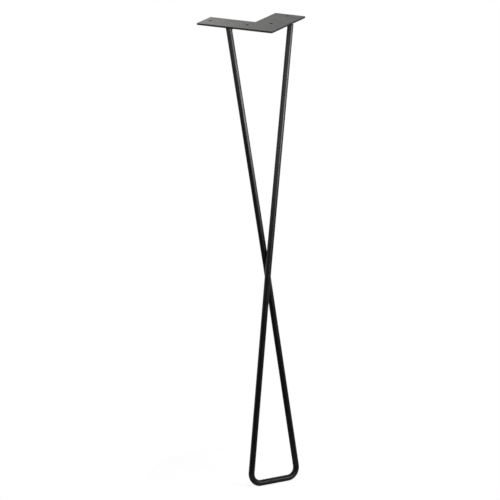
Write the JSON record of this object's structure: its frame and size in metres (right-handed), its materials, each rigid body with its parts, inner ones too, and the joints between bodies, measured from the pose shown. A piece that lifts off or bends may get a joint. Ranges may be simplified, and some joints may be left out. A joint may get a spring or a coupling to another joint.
{
  "type": "hairpin table leg",
  "caption": "Flat angle-shaped steel mounting plate with a round rod welded under it, bent into a long narrow loop whose sides cross half way down; carries a table top at its corner.",
  "frame": {"origin": "where the centre lines of the mounting plate's two arms cross, on the plate's top face", "axes": "+Z square to the plate's top face, up into the table top; +X and +Y along the plate's two arms, away from its outer corner; the loop hangs down along -Z and its foot stands out past the outer corner"},
  "size_m": [0.1974, 0.1854, 0.711],
  "materials": {
    "powder_coated_steel": "satin black powder coat with a fine grain"
  },
  "bodies": {
    "root": {"mounting_plate": "powder_coated_steel", "hairpin_rod": "powder_coated_steel", "x_arm_weld": "powder_coated_steel", "y_arm_weld": "powder_coated_steel"}
  },
  "joints": []
}
